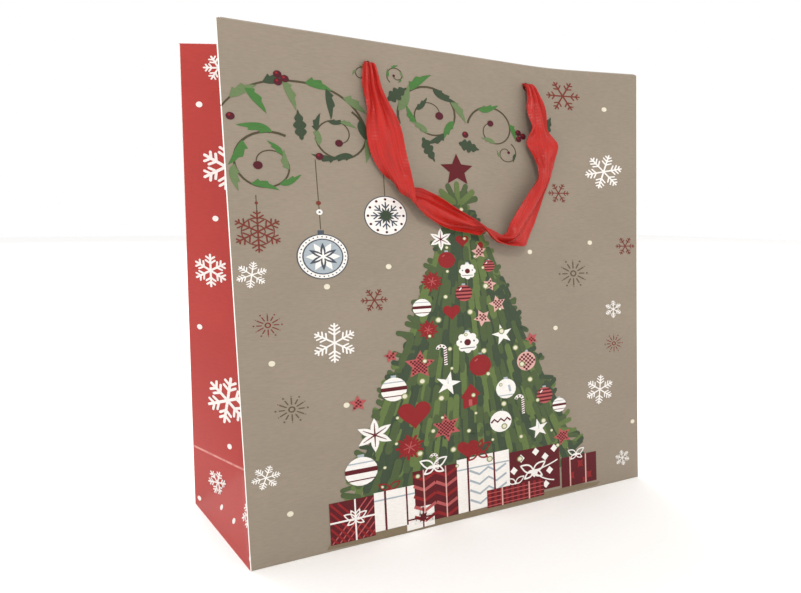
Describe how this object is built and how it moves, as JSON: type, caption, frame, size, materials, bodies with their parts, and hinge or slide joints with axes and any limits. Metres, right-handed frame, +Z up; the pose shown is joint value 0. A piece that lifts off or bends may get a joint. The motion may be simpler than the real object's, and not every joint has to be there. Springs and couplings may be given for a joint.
{
  "type": "gift bag",
  "caption": "Square paper gift bag with inward-folded red side gussets, a turned and card-stiffened mouth, base board and two wide satin ribbon handles that swing; the mouth squeezes shut.",
  "frame": {"origin": "centre of the bag's footprint, on the surface it stands on", "axes": "+Z up, -Y out of the printed front, +X to the right of someone who looks at the front"},
  "size_m": [0.33, 0.12, 0.3193],
  "materials": {
    "printed_kraft": "matt kraft-coloured print on white art paper",
    "red_print": "glossy red print on white art paper",
    "white_lining": "plain unprinted side of the paper",
    "grey_board": "uncoated grey board",
    "red_satin": "woven satin ribbon with a soft sheen"
  },
  "bodies": {
    "bag_base": {"bottom_outer_flap": "printed_kraft", "bottom_inner_flap": "printed_kraft", "left_bottom_tuck": "red_print", "right_bottom_tuck": "red_print", "base_board": "grey_board"},
    "front": {"front_panel": "printed_kraft", "front_top_hem": "white_lining", "front_top_card": "grey_board", "front_left_knot": "red_satin", "front_right_knot": "red_satin"},
    "back": {"back_panel": "printed_kraft", "side_seam_flap": "white_lining", "back_top_hem": "white_lining", "back_top_card": "grey_board", "back_left_knot": "red_satin", "back_right_knot": "red_satin"},
    "left_gusset": {"left_gusset_middle": "red_print"},
    "left_gusset_front": {"left_gusset_front_fold": "red_print", "left_front_gusset_hem": "white_lining"},
    "left_gusset_rear": {"left_gusset_rear_fold": "red_print", "left_rear_gusset_hem": "white_lining"},
    "right_gusset": {"right_gusset_middle": "red_print"},
    "right_gusset_front": {"right_gusset_front_fold": "red_print", "right_front_gusset_hem": "white_lining"},
    "right_gusset_rear": {"right_gusset_rear_fold": "red_print", "right_rear_gusset_hem": "white_lining"},
    "front_handle": {"front_handle_ribbon": "red_satin"},
    "back_handle": {"back_handle_ribbon": "red_satin"}
  },
  "joints": [
    {"name": "mouth_closing", "type": "hinge", "parent": "bag_base", "child": "front", "pos_m": [0, -0.06, 0], "axis": [-1, 0, 0], "range_deg": [0, 3.96], "stiffness_Nm_per_rad": 0.6, "springref_deg": -3.44},
    {"name": "back_panel_fold", "type": "hinge", "parent": "bag_base", "child": "back", "pos_m": [0, 0.06, 0], "axis": [1, 0, 0], "range_deg": [0, 3.96]},
    {"name": "left_gusset_fold", "type": "hinge", "parent": "bag_base", "child": "left_gusset", "pos_m": [-0.165, 0, 0], "axis": [0, 1, 0], "range_deg": [0, 2.18]},
    {"name": "right_gusset_fold", "type": "hinge", "parent": "bag_base", "child": "right_gusset", "pos_m": [0.165, 0, 0], "axis": [0, -1, 0], "range_deg": [0, 2.18]},
    {"name": "left_front_fold_crease", "type": "hinge", "parent": "left_gusset", "child": "left_gusset_front", "pos_m": [-0.165, -0.06, 0], "axis": [-0.1398, -0.1843, -0.9729], "range_deg": [0, 24.68]},
    {"name": "left_rear_fold_crease", "type": "hinge", "parent": "left_gusset", "child": "left_gusset_rear", "pos_m": [-0.165, 0.06, 0], "axis": [0.1398, -0.1843, 0.9729], "range_deg": [0, 24.68]},
    {"name": "right_front_fold_crease", "type": "hinge", "parent": "right_gusset", "child": "right_gusset_front", "pos_m": [0.165, -0.06, 0], "axis": [-0.1398, 0.1843, 0.9729], "range_deg": [0, 24.68]},
    {"name": "right_rear_fold_crease", "type": "hinge", "parent": "right_gusset", "child": "right_gusset_rear", "pos_m": [0.165, 0.06, 0], "axis": [0.1398, 0.1843, -0.9729], "range_deg": [0, 24.68]},
    {"name": "front_handle_swing", "type": "hinge", "parent": "front", "child": "front_handle", "pos_m": [0, -0.04205, 0.30348], "axis": [-1, 0, 0], "range_deg": [0, 170]},
    {"name": "back_handle_swing", "type": "hinge", "parent": "back", "child": "back_handle", "pos_m": [0, 0.04205, 0.30348], "axis": [1, 0, 0], "range_deg": [0, 170]}
  ],
  "couplings": [
    {"joint": "back_panel_fold", "follows": "mouth_closing", "ratio": 1},
    {"joint": "left_gusset_fold", "follows": "mouth_closing", "ratio": 0.5485},
    {"joint": "left_front_fold_crease", "follows": "mouth_closing", "ratio": 6.2278},
    {"joint": "left_rear_fold_crease", "follows": "mouth_closing", "ratio": 6.2278},
    {"joint": "right_gusset_fold", "follows": "mouth_closing", "ratio": 0.5485},
    {"joint": "right_front_fold_crease", "follows": "mouth_closing", "ratio": 6.2278},
    {"joint": "right_rear_fold_crease", "follows": "mouth_closing", "ratio": 6.2278}
  ]
}
